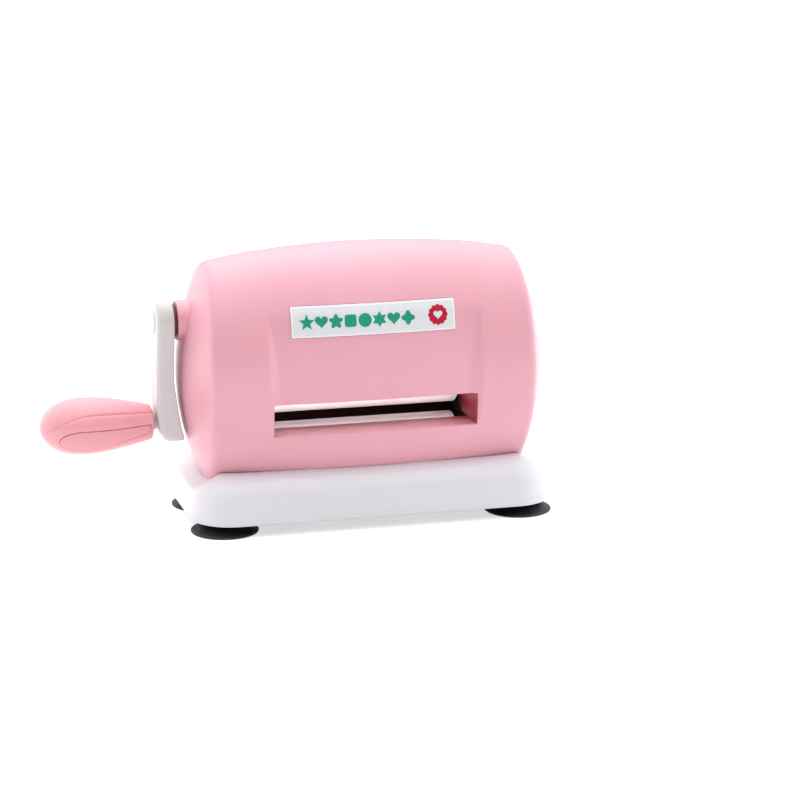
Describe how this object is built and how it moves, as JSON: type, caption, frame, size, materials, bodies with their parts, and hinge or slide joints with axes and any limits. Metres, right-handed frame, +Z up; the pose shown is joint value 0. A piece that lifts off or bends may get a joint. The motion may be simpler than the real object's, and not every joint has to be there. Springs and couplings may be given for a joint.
{
  "type": "die cutting machine",
  "caption": "Table-top hand-cranked die cutting machine: domed barrel housing on a drafted base with suction feet, geared steel rollers behind a feed slot, curved crank and teardrop grip.",
  "frame": {"origin": "middle of the whole object, crank included, in plan, on the plane that the suction feet stand on", "axes": "+X along the rollers, away from the crank; -Y is the feed side with the name plate; +Z up"},
  "size_m": [0.2666, 0.089, 0.1438],
  "materials": {
    "pink_plastic": "satin",
    "white_plastic": "gloss",
    "label_white": "gloss",
    "black_plastic": "matte",
    "rubber_black": "matte",
    "roller_chrome": "polished",
    "frame_steel": "zinc plated",
    "steel": "turned",
    "brass": "turned"
  },
  "bodies": {
    "root": {"housing_front": "pink_plastic", "housing_rear": "pink_plastic", "name_plate": "label_white", "base_shell": "white_plastic", "base_plate": "black_plastic", "frame_left": "frame_steel", "frame_right": "frame_steel", "tie_rods": "steel", "tie_rod_screws": "steel", "roller_bushes": "brass", "shaft_bush": "brass", "shaft_collar": "pink_plastic", "foot_front_left": "rubber_black", "foot_front_right": "rubber_black", "foot_rear_left": "rubber_black", "foot_rear_right": "rubber_black", "foot_studs": "steel", "foot_nuts": "steel", "frame_screws": "steel", "base_screws": "steel", "housing_screws": "steel"},
    "crank": {"crank_shaft": "steel", "crank_pinion": "steel", "pinion_pin": "steel", "shaft_ring": "steel", "arm_washer": "black_plastic", "crank_arm": "white_plastic", "arm_screw": "steel", "arm_cap": "white_plastic", "grip_pin": "steel", "grip_spacer": "white_plastic"},
    "upper_roller": {"upper_roller": "roller_chrome", "drive_gear": "black_plastic", "upper_sync_gear": "black_plastic", "upper_gear_pins": "steel", "upper_roller_rings": "steel"},
    "lower_roller": {"lower_roller": "roller_chrome", "lower_sync_gear": "black_plastic", "lower_gear_pin": "steel", "lower_roller_rings": "steel"},
    "grip": {"grip": "pink_plastic", "grip_inlays": "pink_plastic"}
  },
  "joints": [
    {"name": "crank_turn", "type": "hinge", "parent": "root", "child": "crank", "pos_m": [-0.06, 0, 0.107], "axis": [1, 0, 0], "continuous": true},
    {"name": "upper_roller_turn", "type": "hinge", "parent": "root", "child": "upper_roller", "pos_m": [0.03565, 0, 0.0695], "axis": [1, 0, 0], "continuous": true},
    {"name": "lower_roller_turn", "type": "hinge", "parent": "root", "child": "lower_roller", "pos_m": [0.03565, 0, 0.0345], "axis": [1, 0, 0], "continuous": true},
    {"name": "grip_spin", "type": "hinge", "parent": "crank", "child": "grip", "pos_m": [-0.1, 0, 0.054], "axis": [1, 0, 0], "continuous": true}
  ],
  "couplings": [
    {"joint": "upper_roller_turn", "follows": "crank_turn", "ratio": -0.38889},
    {"joint": "lower_roller_turn", "follows": "crank_turn", "ratio": 0.38889}
  ]
}
